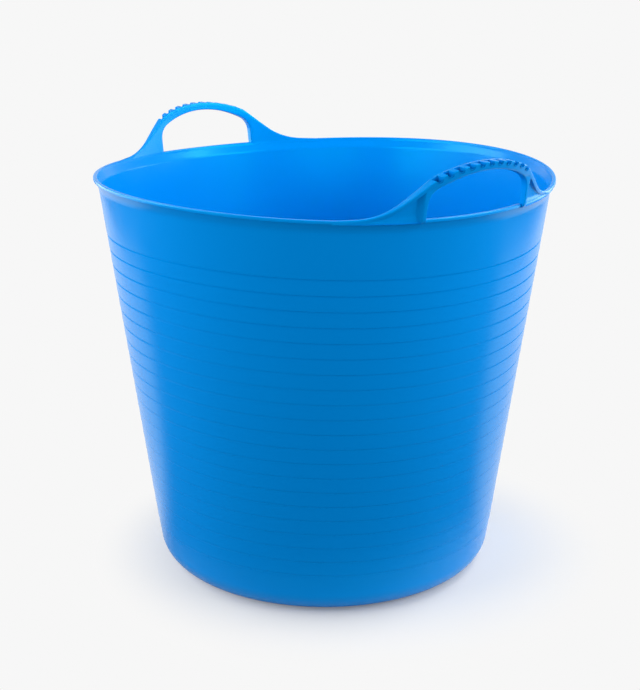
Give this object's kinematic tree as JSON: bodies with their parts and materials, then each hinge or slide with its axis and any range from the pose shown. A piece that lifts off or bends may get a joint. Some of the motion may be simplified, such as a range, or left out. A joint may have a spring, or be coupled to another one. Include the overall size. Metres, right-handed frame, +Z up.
{
  "type": "flexible tub",
  "caption": "Round tapered flexible carrying tub with a stepped wall, flared beaded rim and two opposite arched rim handles that bend.",
  "frame": {"origin": "centre of the floor's underside, where the tub stands", "axes": "+Z up along the tub's axis, +X towards the front handle, +Y along the front handle's grip"},
  "size_m": [0.4738, 0.4449, 0.438],
  "materials": {
    "blue_polyethylene": "satin moulded low-density polyethylene"
  },
  "bodies": {
    "tub": {"floor_panel": "blue_polyethylene", "heel_ring": "blue_polyethylene", "stepped_wall": "blue_polyethylene", "collar": "blue_polyethylene", "rim_lip": "blue_polyethylene", "rim_bead": "blue_polyethylene", "front_left_leg_web": "blue_polyethylene", "front_left_leg_rail": "blue_polyethylene", "front_left_jamb": "blue_polyethylene", "front_right_leg_web": "blue_polyethylene", "front_right_leg_rail": "blue_polyethylene", "front_right_jamb": "blue_polyethylene", "rear_left_leg_web": "blue_polyethylene", "rear_left_leg_rail": "blue_polyethylene", "rear_left_jamb": "blue_polyethylene", "rear_right_leg_web": "blue_polyethylene", "rear_right_leg_rail": "blue_polyethylene", "rear_right_jamb": "blue_polyethylene"},
    "front_handle": {"front_grip_bar": "blue_polyethylene", "front_grip_tread": "blue_polyethylene"},
    "rear_handle": {"rear_grip_bar": "blue_polyethylene", "rear_grip_tread": "blue_polyethylene"}
  },
  "joints": [
    {"name": "front_handle_flex", "type": "hinge", "parent": "tub", "child": "front_handle", "pos_m": [0.212, 0, 0.403], "axis": [0, -1, 0], "range_deg": [-30, 45], "stiffness_Nm_per_rad": 1.8, "deforming": ["front_left_leg_web", "front_left_leg_rail", "front_left_jamb", "front_right_leg_web", "front_right_leg_rail", "front_right_jamb"]},
    {"name": "rear_handle_flex", "type": "hinge", "parent": "tub", "child": "rear_handle", "pos_m": [-0.212, 0, 0.403], "axis": [0, 1, 0], "range_deg": [-30, 45], "stiffness_Nm_per_rad": 1.8, "deforming": ["rear_left_leg_web", "rear_left_leg_rail", "rear_left_jamb", "rear_right_leg_web", "rear_right_leg_rail", "rear_right_jamb"]}
  ]
}
